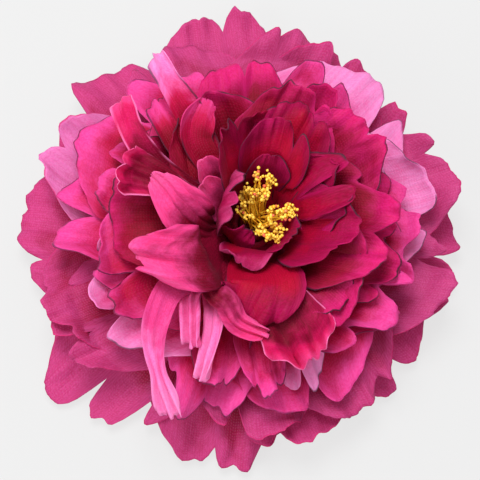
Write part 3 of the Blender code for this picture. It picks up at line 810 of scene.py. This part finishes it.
def tube(shape, points, radius):
    """A closed tube through the points."""
    rings = []
    for point, before, after in zip(points, points[:1] + points[:-1], points[1:] + points[-1:]):
        ring = bmesh.ops.create_circle(shape, segments=STALK_SIDES, radius=radius)["verts"]
        turn = (after - before).to_track_quat("Z", "Y").to_matrix()
        bmesh.ops.rotate(shape, verts=ring, matrix=turn)
        bmesh.ops.translate(shape, vec=point, verts=ring)
        rings.append(list({edge for vertex in ring for edge in vertex.link_edges}))
    for low, high in zip(rings, rings[1:]):
        bmesh.ops.bridge_loops(shape, edges=low + high)
    for ring in (rings[0], rings[-1]):
        bmesh.ops.contextual_create(shape, geom=ring)


def add_beads(beads, layer, number, place, draw):
    """A bunch of beads round the end of a stalk, the first of them right on it."""
    for k in range(number):
        tone = draw.random()
        radius = mix(BEAD_RADIUS, draw.random())
        aside = Vector((draw.uniform(-1, 1), draw.uniform(-1, 1), draw.uniform(*CLUSTER_DROP)))
        aside *= CLUSTER
        made = bmesh.ops.create_icosphere(beads, subdivisions=2, radius=radius)["verts"]
        bmesh.ops.translate(beads, vec=place + aside * min(1, k), verts=made)
        for vertex in made:
            vertex[layer] = tone


def stamen_pieces():
    draw = random.Random(SEED)
    stalks = bmesh.new()
    beads = bmesh.new()
    bead_tone = beads.verts.layers.float.new("tone")
    foot = ROOT_HEIGHT[1] + SEAT_GAP
    top = foot + STAMEN_BASE_THICKNESS
    spin(stalks, ((0, foot), (STAMEN_BASE, foot), (STAMEN_BASE - STAMEN_BASE_BEVEL, top), (0, top)))
    for clump in CLUMPS:
        for _ in range(clump.stalks):
            line = stalk_line(clump, draw)
            tube(stalks, line, STALK_RADIUS)
            add_beads(beads, bead_tone, clump.beads, line[-1], draw)
    bmesh.ops.recalc_face_normals(stalks, faces=stalks.faces)
    for face in list(stalks.faces) + list(beads.faces):
        face.smooth = True
    return (
        solid_piece("stamen_stalks", stalks, "stamens", "stamens"),
        solid_piece("anther_beads", beads, "stamens", "stamens"),
    )


stalks, beads = stamen_pieces()

# %% [markdown]
# ## The calyx
# Under the bloom a green cup holds five sepals. The photograph doesn't show them, so they are plain
# leaves of the usual kind, pointed, arched and finely ribbed, and the stem ends in a flush cut.

# %% The calyx and the cut stem
CALYX_RADIUS = 11.0 * MM
CALYX_FOOT = 9.5 * MM
CALYX_RIBS = (15, 0.012)
SEPALS = 5
SEPAL_TURN = 0.3
SEPAL_THICKNESS = 0.6 * MM
SEPAL_REACH = 33.0 * MM
SEPAL_HALF_WIDTH = 8.0 * MM
SEPAL_ROOT = (8.0 * MM, 4.6 * MM)
SEPAL_TIP_HEIGHT = 2.2 * MM
SEPAL_ARCH = 1.6 * MM
SEPAL_DROOP = 0.75
SEPAL_CLAW = 0.45
SEPAL_OPENING = 1.3
SEPAL_POINT_START = 0.45
SEPAL_POINT = 0.86
CALYX_PROFILE = (
    (CORE_FOOT + SEAT_GAP, 0), (CALYX_FOOT - 0.6 * MM, 0), (CALYX_FOOT, 0.5 * MM),
    (CALYX_RADIUS - 0.5 * MM, 2.4 * MM), (CALYX_RADIUS, 4 * MM),
    (CALYX_RADIUS, CALYX_HEIGHT - 0.6 * MM), (CALYX_RADIUS - 0.6 * MM, CALYX_HEIGHT),
    (CORE_FOOT + SEAT_GAP, CALYX_HEIGHT),
)


def sepal_surface(turn):
    """A function from (across, along) to a point of a sepal."""
    def point(across, along):
        opened = math.sin(math.pi / 2 * min(1.0, along * SEPAL_OPENING))
        half = SEPAL_HALF_WIDTH * mix((SEPAL_CLAW, 1), opened)
        half *= 1 - SEPAL_POINT * late(along, SEPAL_POINT_START)
        side = across * half
        out = mix((SEPAL_ROOT[0], SEPAL_REACH), along)
        height = mix((SEPAL_ROOT[1], SEPAL_TIP_HEIGHT), along)
        height += SEPAL_ARCH * (math.sin(math.pi * along) - SEPAL_DROOP * across**2 * along)
        x = out * math.cos(turn) - side * math.sin(turn)
        y = out * math.sin(turn) + side * math.cos(turn)
        return Vector((x, y, height))

    return point


def calyx_pieces():
    turns = [2 * math.pi * (n + SEPAL_TURN) / SEPALS for n in range(SEPALS)]
    sheets = [(sepal_surface(turn), SEPAL_HALF_WIDTH) for turn in turns]
    sepals = petal_piece("sepals", "calyx", sheets, thickness=SEPAL_THICKNESS)
    cup_shape = bmesh.new()
    spin(cup_shape, CALYX_PROFILE, CALYX_RIBS)
    return sepals, solid_piece("calyx_cup", cup_shape, "calyx", "calyx")


sepals, calyx_cup = calyx_pieces()

# %% [markdown]
# ## Finishes
# The petals look like thin satin: a fine weave, soft gloss, light that shines through, darker towards
# the claw and paler towards the rim, with faint veins. Part of that colour is painted light and shade:
# some of the crimson towards the bloom's middle is painted shade and some of the pale tips painted
# sheen, the claws of the cup have a painted red glow, and the fold and the ribbons have tints made
# brighter, partly as painted light. Some rims have a thin brown edge and others a bright one, and the
# pale pink rims of the petals that stand up are a painted highlight. One node group makes that colour
# from the petal's own attributes, and each material gives it its own tints.

# %% Helpers for materials
def tint(red, green, blue):
    """A colour given as on a screen, in the linear values that shaders take."""
    def linear(value):
        value /= 255
        return value / 12.92 if value <= 0.04045 else ((value + 0.055) / 1.055) ** 2.4
    return (linear(red), linear(green), linear(blue), 1)


class Graph:
    """Short calls for adding and joining nodes in one tree."""

    def __init__(self, tree):
        self.tree = tree

    def add(self, kind, **inputs):
        node = self.tree.nodes.new("ShaderNode" + kind)
        for name, value in inputs.items():
            self.feed(node, name.replace("_", " "), value)
        return node

    def feed(self, node, name, value):
        socket = node.inputs[name]
        if isinstance(value, bpy.types.NodeSocket):
            self.tree.links.new(value, socket)
        else:
            socket.default_value = value

    def math(self, operation, first, second=0.0, kind="Math"):
        node = self.tree.nodes.new("ShaderNode" + kind)
        node.operation = operation
        self.feed(node, 0, first)
        self.feed(node, 1, second)
        return node.outputs[0]

    def blend(self, factor, first, second, kind="MIX"):
        node = self.tree.nodes.new("ShaderNodeMix")
        node.data_type = "RGBA"
        node.blend_type = kind
        self.feed(node, 0, factor)
        self.feed(node, 6, first)
        self.feed(node, 7, second)
        return node.outputs[2]

    def span(self, value, low, high, out_low=0.0, out_high=1.0):
        node = self.tree.nodes.new("ShaderNodeMapRange")
        node.interpolation_type = "SMOOTHSTEP"
        for n, number in enumerate((value, low, high, out_low, out_high)):
            self.feed(node, n, number)
        return node.outputs[0]

    def attribute(self, name):
        node = self.tree.nodes.new("ShaderNodeAttribute")
        node.attribute_name = name
        return node


def new_group(name, inputs, outputs):
    """A node group's graph, what it is given, and its result. Sockets are (label, type) pairs."""
    tree = bpy.data.node_groups.new(name, "ShaderNodeTree")
    for sockets, way in ((inputs, "INPUT"), (outputs, "OUTPUT")):
        for label, kind in sockets:
            tree.interface.new_socket(label, in_out=way, socket_type="NodeSocket" + kind)
    return Graph(tree), tree.nodes.new("NodeGroupInput").outputs, tree.nodes.new("NodeGroupOutput")


def new_material(name):
    """A material with its graph and its shader."""
    material = bpy.data.materials.new(name)
    material.use_nodes = True
    return material, *shader_of(material)


def shader_of(material):
    return Graph(material.node_tree), material.node_tree.nodes["Principled BSDF"]


# %% The colour of a petal
VEIN_STRETCH = (1.0, 0.09, 1.0)
VEIN_SPAN = (0.30, 0.70)
VEIN_DEPTH = 0.22
GRAIN_SPAN = (0.35, 0.65)
GRAIN_DEPTH = 0.40
# How far the clouds, the petal's tone and its distance from the middle move the tints along it. Near
# the middle the tints move towards the claw's crimson: partly the petals' own colour, partly painted
# shade in the bloom's hollow
CLOUD_SHIFT = 0.9
TONE_SHIFT = 0.30
DEPTH_SPAN = (30.0 * MM, 75.0 * MM)
CRIMSON_AND_SHADE_SHIFT = (-0.24, 0.14)
# Where along the petal each tint fades in, and which tones have a pale tip, partly the fabric's own
# fade and partly painted sheen
MIDDLE_SPAN = (0.25, 0.60)
OUTER_SPAN = (0.52, 0.95)
TIP_SPAN = (0.62, 1.15)
PALE_SPAN = (0.85, 1.15)
PALE_VEIN = (0.7, 1.0)
# The rim's tint fades out over some tenths of a millimetre, and comes in patches
RIM_SPAN = (0.10, 0.70)
PATCH_SPAN = (0.45, 0.53)


def petal_colour_group():
    """Tints from claw to tip, clouded, veined and dyed unevenly, with a dark or bright rim in places.
    Near the bloom's middle painted shade pulls the tints towards the claw, some tips are paler with
    painted sheen, and a pale pink rim is a painted highlight.
    """
    graph, given, result = new_group(
        "petal colour",
        (
            ("Along", "Float"), ("Rim", "Float"), ("Tone", "Float"), ("Map", "Vector"), ("Place", "Vector"),
            ("Claw", "Color"), ("Middle", "Color"), ("Outer", "Color"), ("Tip", "Color"),
            ("Rim tint", "Color"), ("Rim share", "Float"), ("Pale share", "Float"),
        ),
        (("Color", "Color"), ("Vein", "Float")),
    )
    tone = given["Tone"]
    offset = graph.add("CombineXYZ", X=tone, Y=tone, Z=tone).outputs[0]
    apart = graph.math("ADD", given["Map"], offset, "VectorMath")
    stretched = graph.math("MULTIPLY", apart, VEIN_STRETCH, "VectorMath")
    clouds = graph.add("TexNoise", Vector=apart, Scale=85.0, Detail=3.0, Roughness=0.55)
    veins = graph.add("TexNoise", Vector=stretched, Scale=900.0, Detail=3.0, Roughness=0.65)
    vein = graph.span(veins.outputs[0], *VEIN_SPAN)
    cloud_shift = graph.math("MULTIPLY", graph.math("SUBTRACT", clouds.outputs[0], 0.5), CLOUD_SHIFT)
    tone_shift = graph.math("MULTIPLY", graph.math("SUBTRACT", tone, 0.5), TONE_SHIFT)
    place = graph.add("SeparateXYZ", Vector=given["Place"])
    squares = [graph.math("POWER", place.outputs[axis], 2.0) for axis in ("X", "Y")]
    out = graph.math("SQRT", graph.math("ADD", *squares))
    # Painted shade, partly the petals' own colour: nearer the bloom's middle the tints move to the claw
    crimson_and_shade_shift = graph.span(out, *DEPTH_SPAN, *CRIMSON_AND_SHADE_SHIFT)
    along = given["Along"]
    for shift in (cloud_shift, tone_shift, crimson_and_shade_shift):
        along = graph.math("ADD", along, shift)
    middle = graph.span(along, *MIDDLE_SPAN)
    colour = graph.blend(middle, given["Claw"], given["Middle"])
    colour = graph.blend(graph.span(along, *OUTER_SPAN), colour, given["Outer"])
    # Pale tips, streaked along the veins: partly the fabric's own fade, partly painted sheen
    chosen = graph.span(graph.math("ADD", tone, given["Pale share"]), *PALE_SPAN)
    pale = graph.math("MULTIPLY", chosen, graph.span(along, *TIP_SPAN))
    pale = graph.math("MULTIPLY", pale, graph.span(vein, 0.0, 1.0, *PALE_VEIN))
    colour = graph.blend(pale, colour, given["Tip"])
    deeper = graph.blend(1.0, colour, colour, "MULTIPLY")
    colour = graph.blend(graph.math("MULTIPLY", vein, VEIN_DEPTH), colour, deeper)
    grain = graph.add("TexNoise", Vector=given["Map"], Scale=1500.0, Detail=2.0, Roughness=0.7)
    grain = graph.span(grain.outputs[0], *GRAIN_SPAN, 0.0, GRAIN_DEPTH)
    colour = graph.blend(grain, colour, deeper)
    patches = graph.add("TexNoise", Vector=apart, Scale=60.0)
    patches = graph.span(patches.outputs[0], *PATCH_SPAN)
    # The rim tint: a brown rim is the fabric's own browned edge, the pale pink rim is a painted highlight
    rim = graph.math("MULTIPLY", graph.span(given["Rim"], *RIM_SPAN, 1.0, 0.0), patches)
    rim = graph.math("MULTIPLY", rim, given["Rim share"])
    graph.feed(result, "Color", graph.blend(rim, colour, given["Rim tint"]))
    graph.feed(result, "Vein", vein)
    return graph.tree


petal_colour = petal_colour_group()

# %% The weave of the fabric
WEAVE_SCALE = 387.5


def weave_group():
    """The height of a fine plain weave on a map in metres."""
    graph, given, result = new_group("weave", (("Map", "Vector"),), (("Height", "Float"),))
    heights = []
    for way in ("X", "Y"):
        wave = graph.add("TexWave", Vector=given["Map"], Distortion=0.6, Detail=1.0)
        wave.bands_direction = way
        graph.feed(wave, "Scale", WEAVE_SCALE)
        heights.append(wave.outputs["Fac"])
    graph.feed(result, "Height", graph.math("MULTIPLY", *heights))
    return graph.tree


weave = weave_group()

# %% Petal materials
BROWN_RIM = (92, 38, 60)
BRIGHT_RIM = (224, 40, 124)
PALE_THREAD = tint(226, 160, 196)
VEIN_RELIEF = 1.2
SATIN_RELIEF = 0.25 * MM
SATIN_ROUGHNESS = (0.52, 0.70)
SATIN_GLOSS = (
    ("Specular IOR Level", 0.14), ("Sheen Weight", 0.04), ("Sheen Roughness", 0.4),
    ("Sheen Tint", tint(255, 190, 225)),
)
TINT_LABELS = ("Claw", "Middle", "Outer", "Tip", "Rim tint")
# through is the share of light that shines through, and thread how far the weave's threads are paler
Satin = namedtuple("Satin", "claw middle outer tip rim rim_share pale_share through thread")
SATINS = {
    "guard": Satin((158, 0, 48), (188, 12, 80), (218, 76, 150), (244, 154, 216),
        BRIGHT_RIM, 0.8, 0.26, 0.40, 0.15),
    "outer": Satin((166, 0, 44), (212, 4, 84), (244, 86, 178), (252, 176, 230),
        BROWN_RIM, 0.8, 0.34, 0.36, 0.06),
    "middle": Satin((146, 0, 34), (172, 0, 56), (230, 40, 136), (250, 142, 210),
        BROWN_RIM, 1.0, 0.13, 0.34, 0.03),
    # The inner claw is a brighter red than the middle: a painted glow in the cup's shade, standing in for
    # light through its walls
    "inner": Satin((200, 0, 60), (178, 0, 76), (208, 22, 114), (234, 114, 176),
        BROWN_RIM, 1.0, 0.05, 0.36, 0.02),
    # The fold's and the ribbons' tints are brighter than the rest: partly their own colour, partly painted
    # light where light falls on them
    "fold": Satin((150, 0, 50), (246, 78, 160), (255, 122, 190), (255, 150, 208),
        BROWN_RIM, 0.15, 0.20, 0.34, 0.03),
    "ribbon": Satin((238, 78, 160), (255, 142, 210), (255, 164, 220), (255, 176, 226),
        BROWN_RIM, 0.10, 0.30, 0.34, 0.03),
    # The pale pink rim tint is a painted highlight on the rims of the petals that stand up
    "rimmed": Satin((150, 0, 50), (224, 24, 110), (248, 84, 164), (252, 142, 206),
        (255, 128, 194), 1.0, 0.20, 0.36, 0.03),
}


def petal_material(name):
    satin = SATINS[name]
    material, graph, shader = new_material(name + " petal satin")
    output = material.node_tree.nodes["Material Output"]
    petal_map = graph.add("UVMap")
    petal_map.uv_map = "petal"
    colour = graph.add("Group")
    colour.node_tree = petal_colour
    for layer in LAYERS:
        graph.feed(colour, layer.capitalize(), graph.attribute(layer).outputs["Fac"])
    graph.feed(colour, "Map", petal_map.outputs[0])
    graph.feed(colour, "Place", graph.add("TexCoord").outputs["Object"])
    for label, on_screen in zip(TINT_LABELS, satin):
        graph.feed(colour, label, tint(*on_screen))
    graph.feed(colour, "Rim share", satin.rim_share)
    graph.feed(colour, "Pale share", satin.pale_share)
    threads = graph.add("Group")
    threads.node_tree = weave
    graph.feed(threads, "Map", petal_map.outputs[0])
    veins = graph.math("MULTIPLY", colour.outputs["Vein"], VEIN_RELIEF)
    height = graph.math("ADD", threads.outputs[0], veins)
    bump = graph.add("Bump", Strength=0.35, Distance=SATIN_RELIEF, Height=height)
    thread = graph.math("MULTIPLY", threads.outputs[0], satin.thread)
    woven = graph.blend(thread, colour.outputs["Color"], PALE_THREAD)
    graph.feed(shader, "Base Color", woven)
    graph.feed(shader, "Normal", bump.outputs[0])
    graph.feed(shader, "Roughness", graph.span(threads.outputs[0], 0.0, 1.0, *SATIN_ROUGHNESS))
    for label, value in SATIN_GLOSS:
        graph.feed(shader, label, value)
    through = graph.add("BsdfTranslucent")
    graph.feed(through, "Color", woven)
    both = graph.add("MixShader")
    graph.feed(both, 0, satin.through)
    graph.feed(both, 1, shader.outputs[0])
    graph.feed(both, 2, through.outputs[0])
    graph.feed(output, "Surface", both.outputs[0])
    return material


petal_materials = {name: petal_material(name) for name in SATINS}
for piece, satin in dressed:
    piece.data.materials.append(petal_materials[satin])

# %% [markdown]
# The beads are gold with a soft gloss, and a few are coral. The stalks are gold too, with a foot in
# the petals' crimson. The calyx, the sepals and the stem are green and mottled.

# %% Materials of the stamens and the green parts
SPOT_SPAN = (0.35, 0.65)
ROUGH_SPAN = (0.3, 0.7)
ROUGHER = 0.15
# The heights between which a stalk turns from crimson to gold
CRIMSON_FOOT = (30.5 * MM, 33.5 * MM)


def mottled_material(name, light, dark, scale, roughness, bump_height, gloss=0.4):
    """Two tints mixed by noise on Object coordinates, with a bump of the same noise."""
    material, graph, shader = new_material(name)
    place = graph.add("TexCoord").outputs["Object"]
    spots = graph.add("TexNoise", Vector=place, Scale=scale, Detail=4.0, Roughness=0.6)
    colour = graph.blend(graph.span(spots.outputs[0], *SPOT_SPAN), dark, light)
    bump = graph.add("Bump", Strength=0.5, Distance=bump_height, Height=spots.outputs[0])
    graph.feed(shader, "Base Color", colour)
    rough = graph.span(spots.outputs[0], *ROUGH_SPAN, roughness, roughness + ROUGHER)
    graph.feed(shader, "Roughness", rough)
    graph.feed(shader, "Normal", bump.outputs[0])
    graph.feed(shader, "Specular IOR Level", gloss)
    return material


def bead_material():
    pale = tint(255, 224, 96)
    deep = tint(244, 182, 36)
    material = mottled_material("anther gold", pale, deep, 1400.0, 0.30, 0.1 * MM, 0.5)
    graph, shader = shader_of(material)
    gold = shader.inputs["Base Color"].links[0].from_socket
    tone = graph.attribute("tone").outputs["Fac"]
    coral = graph.span(tone, 1 - CORAL_SHARE, 1 - CORAL_SHARE + CORAL_EDGE)
    graph.feed(shader, "Base Color", graph.blend(coral, gold, tint(226, 98, 66)))
    return material


def stalk_material():
    pale = tint(250, 204, 60)
    deep = tint(230, 162, 24)
    material = mottled_material("stalk gold", pale, deep, 700.0, 0.40, 0.1 * MM)
    graph, shader = shader_of(material)
    gold = shader.inputs["Base Color"].links[0].from_socket
    place = graph.add("SeparateXYZ", Vector=graph.add("TexCoord").outputs["Object"])
    foot = graph.span(place.outputs["Z"], *CRIMSON_FOOT, 1.0, 0.0)
    graph.feed(shader, "Base Color", graph.blend(foot, gold, tint(112, 10, 24)))
    return material


beads.data.materials.append(bead_material())
stalks.data.materials.append(stalk_material())
green = mottled_material("sepal green", tint(96, 128, 58), tint(58, 92, 36), 260.0, 0.55, 0.3 * MM)
sepals.data.materials.append(green)
calyx_cup.data.materials.append(green)
bases.data.materials.append(
    mottled_material("petal base", tint(150, 6, 44), tint(110, 0, 28), 300.0, 0.6, 0.3 * MM, 0.14)
)
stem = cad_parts["receptacle"]
stem.data.materials.clear()
stem.data.materials.append(
    mottled_material("cut stem", tint(150, 160, 96), tint(96, 116, 60), 520.0, 0.7, 0.4 * MM)
)
